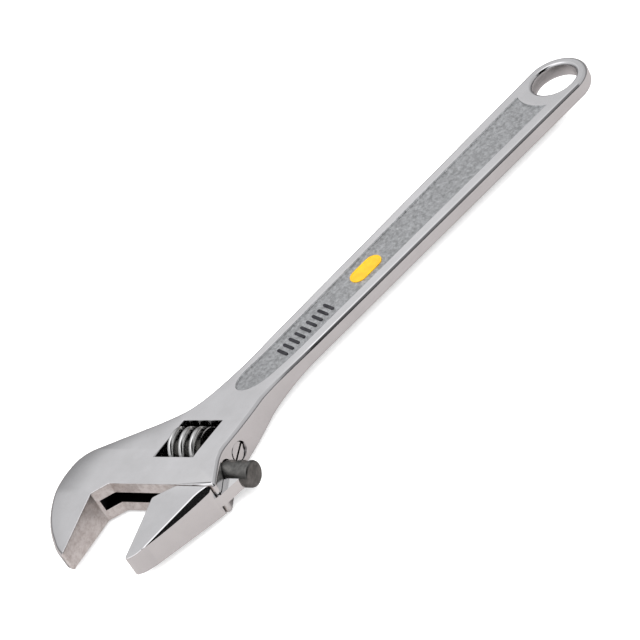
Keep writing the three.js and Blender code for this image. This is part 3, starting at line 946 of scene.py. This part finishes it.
gap_at = THREAD_PHASE
while gap_at < RACK_END:
    cut_with(rack, tooth_gap(gap_at), DARK_STEEL_AND_GROOVE_SHADE)
    gap_at += THREAD_PITCH
join_or_cut(jaw, neck, "UNION")
join_or_cut(jaw, rack, "UNION")
polish(jaw)
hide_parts("movable_jaw")
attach(jaw, "jaw")

# %% [markdown]
# ## The worm
# The thumb turns the worm, so its thread is a smooth round ridge. One closed section of the ridge is
# wound round the axis by the Screw modifier, its two open ends are filled, and it is trimmed by a
# drum with rounded shoulders. A core, bored for the pin, is joined inside it. The core is dark steel,
# so the roots between the ridges are darker: painted shade in the grooves.

# %% Thread ridge
RIDGE_HALF = 1.5
FOOT_HALF = 1.65
FOOT_SUNK = 0.6
CREST_GAP = 0.03
THREAD_TURNS = 6


def ridge_section():
    """The ridge's cross-section as (along the axis, distance from the axis), a rounded hump."""
    foot, rise = THREAD_ROOT - FOOT_SUNK, WORM_RADIUS - CREST_GAP - THREAD_ROOT
    points = [(-FOOT_HALF, foot)]
    for step in range(1, 20):
        angle = math.pi - math.pi * step / 20
        along, out = math.cos(angle), math.sin(angle)
        across = RIDGE_HALF * math.copysign(abs(along) ** 0.8, along)
        points.append((across, THREAD_ROOT + rise * out ** 0.6))
    return points + [(FOOT_HALF, foot)]


def wind(piece, start, pitch, turns, steps):
    """Winds an open section round the worm's axis, closes its ends and lays it along the slide."""
    winding = piece.modifiers.new("winding", "SCREW")
    winding.axis = "Z"
    winding.angle = math.tau
    winding.screw_offset = pitch * MM
    winding.iterations = turns
    winding.steps = winding.render_steps = steps
    winding.use_merge_vertices = False
    bpy.ops.object.modifier_apply(modifier=winding.name)
    open_all(piece)
    bpy.ops.mesh.fill_holes(sides=0)
    bpy.ops.mesh.select_all(action="SELECT")
    bpy.ops.mesh.normals_make_consistent(inside=False)
    bpy.ops.object.mode_set(mode="OBJECT")
    for vertex in piece.data.vertices:
        x, y, z = vertex.co / MM
        vertex.co = on_jaws(start + z, WORM_DEPTH + x) - UP * y * MM


def thread():
    """The wound ridge, longer than the worm at both ends."""
    section = ridge_section()
    bpy.ops.mesh.primitive_circle_add(vertices=len(section), radius=MM, fill_type="NOTHING")
    ridge = bpy.context.object
    ridge.name = "thread"
    for vertex, (along, out) in zip(ridge.data.vertices, section):
        vertex.co = Vector((out, 0, along)) * MM
    wind(ridge, THREAD_PHASE - 3 * THREAD_PITCH, THREAD_PITCH, THREAD_TURNS, 64)
    return ridge


def point_faces_out(piece):
    """Recalculates the normals, so the faces point out."""
    open_all(piece)
    bpy.ops.mesh.normals_make_consistent(inside=False)
    bpy.ops.object.mode_set(mode="OBJECT")


WORM_BORE = (20, 45, 2.6)
SPRING_ROOM = (20, WORM_ENDS[0] + 4.2, 3.95)

worm = rod("thumb_worm", *WORM_ENDS, WORM_RADIUS, WORM_DEPTH, 96)
worm.data.materials.append(WORM_CHROME)
soften(worm, end_edge, 0.9, 4)
ridge = thread()
point_faces_out(ridge)
ridge.data.materials.append(WORM_CHROME)
join_or_cut(worm, ridge, "INTERSECT")
# The core's dark steel shows between the ridges: painted shade in the thread's grooves.
core = rod("core", *WORM_ENDS, THREAD_ROOT, WORM_DEPTH, 96)
core.data.materials.append(DARK_STEEL_AND_GROOVE_SHADE)
join_or_cut(worm, core, "UNION")
cut_with(worm, rod("worm_bore", *WORM_BORE, WORM_DEPTH, 48), DARK_STEEL_AND_GROOVE_SHADE)
cut_with(worm, rod("spring_room", *SPRING_ROOM, WORM_DEPTH, 48), DARK_STEEL_AND_GROOVE_SHADE)
polish(worm, 40)
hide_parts("adjusting_worm")
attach(worm, "worm")

# %% [markdown]
# ## Pin and spring
# The pin is a long screw with a round slotted head let into the side face. It starts as the head's
# drum; its inner end is inset and extruded for the shank, and its edges are rounded. The spring in
# the worm's end is a round wire wound by the Screw modifier.

# %% Pin
PIN_ENDS = (15, 51.2)
HEAD_LENGTH = 4
HEAD_RADIUS = 3.9
SHOULDER = 1.7
SLOT_TURN = 20
SLOT_SIZE = (12, 1.1, 2.4)


def faces_inward(face):
    """The end that looks against the slide direction."""
    return face.normal.dot(SLIDE) < -0.9


pin = rod("slotted_pin", PIN_ENDS[1] - HEAD_LENGTH, PIN_ENDS[1], HEAD_RADIUS, WORM_DEPTH, 64)
pin.data.materials.append(CHROME)
pick(pin, "FACE", faces_inward)
bpy.ops.mesh.inset(thickness=SHOULDER * MM)
shank = SLIDE * (PIN_ENDS[0] - PIN_ENDS[1] + HEAD_LENGTH) * MM
bpy.ops.mesh.extrude_region_move(TRANSFORM_OT_translate={"value": shank})
take(pin)
print("pin edges:", soften(pin, end_edge, 0.35, 3))


def slot_cutter():
    """A thin bar across the pin's head, turned on the head as the screw was left."""
    axis = Euler((math.pi / 2, 0, HEAD_TURN)).to_matrix()
    turn = axis @ Matrix.Rotation(math.radians(SLOT_TURN), 3, "Z")
    centre = on_jaws(PIN_ENDS[1], WORM_DEPTH)
    bpy.ops.mesh.primitive_cube_add(size=MM, location=centre, rotation=turn.to_euler())
    bar = bpy.context.object
    bar.scale = SLOT_SIZE
    bpy.ops.object.transform_apply(location=True, rotation=True, scale=True)
    return bar


# The slot's faces are dark steel: painted shade in the slot.
cut_with(pin, slot_cutter(), DARK_STEEL_AND_GROOVE_SHADE)
polish(pin)
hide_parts("worm_pin")
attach(pin, "body")

# %% Spring
SPRING_WIRE = 0.35
SPRING_RADIUS = 3.3
SPRING_START = WORM_ENDS[0] + 0.65
SPRING_LENGTH = 3.2
SPRING_TURNS = 3


def wound_spring():
    """A round wire wound three times, with its ends closed."""
    upright = (math.pi / 2, 0, 0)
    bpy.ops.mesh.primitive_circle_add(vertices=14, radius=SPRING_WIRE * MM, rotation=upright)
    wire = bpy.context.object
    wire.name = "wound_spring"
    bpy.ops.object.transform_apply(location=True, rotation=True, scale=True)
    open_all(wire)
    bpy.ops.transform.translate(value=(SPRING_RADIUS * MM, 0, 0))
    bpy.ops.object.mode_set(mode="OBJECT")
    wind(wire, SPRING_START, (SPRING_LENGTH - 2 * SPRING_WIRE) / SPRING_TURNS, SPRING_TURNS, 48)
    return wire


spring = wound_spring()
spring.data.materials.append(SPRING_STEEL)
polish(spring, 50)
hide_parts("worm_spring")
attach(spring, "worm")

# %% [markdown]
# ## Marks in the panel
# A plain yellow enamel plate, with a rounded rim standing round a slightly lower field, sits in the
# panel. Nearer the head the forging carries a row of nine raised upright bars in place of a size
# mark. The bars are painted nearly black, a painted dark reflection. Both are generic: neither holds
# a letter, a number or a sign.

# %% Enamel plate
PLATE_SIZE = (16, 8)
PLATE_X = 136
PLATE_Y = HANDLE_Y + 0.25
PLATE_SUNK = 0.18
PLATE_RISE = 0.4
PANEL_FLOOR = HANDLE_HALF - PANEL_DEPTH


def stadium(x, y, length, width, steps):
    """A bar with two round ends."""
    radius = width / 2
    reach = length / 2 - radius
    right = arc((x + reach, y), radius, -math.pi / 2, math.pi / 2, steps)
    left = arc((x - reach, y), radius, math.pi / 2, math.pi * 3 / 2, steps)
    return right + left


def looks_up(face):
    """True on a face that looks straight up."""
    return face.normal.z > 0.99


plate = outline_plate("enamel_plate", stadium(PLATE_X, PLATE_Y, *PLATE_SIZE, 20),
                      on_handle, PANEL_FLOOR - PLATE_SUNK, PANEL_FLOOR + PLATE_RISE)
plate.data.materials.append(ENAMEL)
pick(plate, "FACE", looks_up)
bpy.ops.mesh.inset(thickness=0.7 * MM)
bpy.ops.mesh.inset(thickness=0.25 * MM, depth=-0.16 * MM)
take(plate)


def plate_rim(middle, normals):
    """The plate's outer top edge."""
    return is_rim(normals) and middle.z > on_handle(0, 0, PANEL_FLOOR).z


print("plate rim edges:", soften(plate, plate_rim, 0.2, 3))
polish(plate)
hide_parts("handle_label")
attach(plate, "body")

# %% Raised bars
BAR_COUNT = 9
BAR_PITCH = 3.35
BAR_SIZE = (1.4, 6.6)
BARS_START = 86.6
BARS_Y = HANDLE_Y - 0.3
BAR_HEIGHTS = (-0.3, 0.42)


def raised_bars():
    """Nine upright bars, joined into one mesh and rounded on top."""
    bars = []
    for number in range(BAR_COUNT):
        x = BARS_START + number * BAR_PITCH
        upright = stadium(0, 0, BAR_SIZE[1], BAR_SIZE[0], 6)
        outline = [(x + dx, BARS_Y + dy) for dy, dx in upright]
        bar = outline_plate("bar", outline, on_handle, *BAR_HEIGHTS)
        for vertex in bar.data.vertices:
            vertex.co.z += (half_thickness(vertex.co) - PANEL_DEPTH) * MM
        bars.append(bar)
    take(bars[0])
    for bar in bars:
        bar.select_set(True)
    bpy.ops.object.join()
    row = bpy.context.object
    row.name = "raised_bars"
    return row


bars = raised_bars()
point_faces_out(bars)
# The bars are painted nearly black, a painted dark reflection of the surround in their tops.
bars.data.materials.append(BAR_DARK_REFLECTION)
soften(bars, lambda middle, normals: is_rim(normals), 0.22, 2)
polish(bars)
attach(bars, "body")

# %% [markdown]
# ## Studio
# A pale floor, a soft lamp and a surround that depends on direction alone. The surround is light,
# grows brighter with height and has a bright band overhead. Only a sector behind the camera is dark,
# and it is softer on the handle's side. Chrome shows what is round it: the front faces mirror the
# light back wall, the sides mirror the floor, and the rounded edges pick up the dark sector as thin
# dark lines. Where the chrome mirrors the floor, the floor is painted a darker warm grey: painted
# shade of the floor next to the tool.

# %% Light levels
# How the chrome sees the floor: a darker warm grey, painted shade of the floor next to the tool.
MIRRORED_FLOOR_SHADE = (0.385, 0.362, 0.356)
FLOOR_LIFT = 0.5
DARK_EDGE = (0.02, -0.2)
SECTOR_START = (-0.45, -0.15)
SECTOR_END = (0.58, 0.44)
DARKNESS = 0.995
HANDLE_SIDE = (0.26, 0.38)
HANDLE_LIFT = 0.27
LAMP_BAND = (0.74, 0.9)
LAMP_GLOW = 0.8
LAMP_FADE = 0.8
WALL_RISE = (0.15, 0.6)
WALL_GLOW = 0.3
WALL_SLOPE = 0.55
NEAR_RISE = (0.1, 0.4)
NEAR_LEVEL = 0.85
FAR_FALL = (0.4, 0.52)
FAR_DROP = 0.3
LAMP_POWER = 40

# %% Floor
bpy.ops.mesh.primitive_plane_add(size=6, location=(0, 0, -0.0002))
floor = bpy.context.object
floor.name = "studio_floor"
floor_finish, floor_tree, floor_shader = start_finish("pale_floor", 0.0)
floor_shader.inputs["Roughness"].default_value = 0.9
floor_shader.inputs["Specular IOR Level"].default_value = 0.0
# Glossy rays see the floor in the darker grey, a painted shade. The camera sees it evenly white.
seen = floor_tree.nodes.new("ShaderNodeLightPath")
floor_shade_mix = floor_tree.nodes.new("ShaderNodeMix")
floor_shade_mix.data_type = "RGBA"
floor_tree.links.new(seen.outputs["Is Glossy Ray"], floor_shade_mix.inputs["Factor"])
floor_shade_mix.inputs["A"].default_value = (0.9, 0.9, 0.9, 1)
floor_shade_mix.inputs["B"].default_value = (*MIRRORED_FLOOR_SHADE, 1)
floor_tree.links.new(floor_shade_mix.outputs["Result"], floor_shader.inputs["Base Color"])
floor_shader.inputs["Emission Color"].default_value = (1, 1, 1, 1)
lift = math_node(floor_tree, "MULTIPLY", seen.outputs["Is Camera Ray"], FLOOR_LIFT)
floor_tree.links.new(lift, floor_shader.inputs["Emission Strength"])
floor.data.materials.append(floor_finish)

# %% Surround
world = bpy.data.worlds.new("studio_surround")
bpy.context.scene.world = world
world.use_nodes = True
sky = world.node_tree
direction = sky.nodes.new("ShaderNodeSeparateXYZ")
sky.links.new(sky.nodes.new("ShaderNodeTexCoord").outputs["Generated"], direction.inputs["Vector"])


def times(first, second):
    """The product of two values of the surround."""
    return math_node(sky, "MULTIPLY", first, second)


along, across, height = direction.outputs["X"], direction.outputs["Y"], direction.outputs["Z"]
starts, ends = smooth_range(sky, along, *SECTOR_START), smooth_range(sky, along, *SECTOR_END)
sector = times(starts, ends)
dark_wall = times(smooth_range(sky, across, *DARK_EDGE), sector)
handle_side = smooth_range(sky, along, *HANDLE_SIDE)
fading = math_node(sky, "SUBTRACT", 1, times(handle_side, LAMP_FADE))
band = times(smooth_range(sky, height, *LAMP_BAND), LAMP_GLOW)
lamp = times(band, fading)
wall = times(smooth_range(sky, height, *WALL_RISE), WALL_SLOPE)
light = math_node(sky, "ADD", math_node(sky, "ADD", wall, WALL_GLOW), lamp)
softer = times(handle_side, HANDLE_LIFT)
depth_of_dark = math_node(sky, "SUBTRACT", DARKNESS, softer)
kept = math_node(sky, "SUBTRACT", 1, times(dark_wall, depth_of_dark))
near_rise = times(smooth_range(sky, along, *NEAR_RISE), 1 - NEAR_LEVEL)
near_side = math_node(sky, "ADD", near_rise, NEAR_LEVEL)
far_fall = times(smooth_range(sky, along, *FAR_FALL), FAR_DROP)
far_side = math_node(sky, "SUBTRACT", 1, far_fall)
sides = times(near_side, far_side)
glow = times(times(light, kept), sides)
backdrop = sky.nodes["Background"]
backdrop.inputs["Color"].default_value = (0.985, 0.985, 1.0, 1)
sky.links.new(glow, backdrop.inputs["Strength"])

# %% Lamp and camera
bpy.ops.object.light_add(type="AREA", location=(-0.1, -0.8, 1.3))
lamp_body = bpy.context.object
lamp_body.name = "soft_lamp"
lamp_body.data.shape = "DISK"
lamp_body.data.size = 1.6
lamp_body.data.energy = LAMP_POWER
lamp_body.visible_glossy = False
lamp_body.rotation_euler = (math.radians(32), 0, 0)

bpy.ops.object.camera_add()
camera = bpy.context.object
camera.location = (-0.3067, -0.6695, 0.5281)
camera.rotation_euler = [math.radians(turn) for turn in (50.59, 24.59, -42.63)]
camera.data.lens = 128
camera.data.sensor_width = 36
camera.data.clip_start = 0.01
bpy.context.scene.camera = camera
bpy.context.scene.view_settings.view_transform = "Standard"
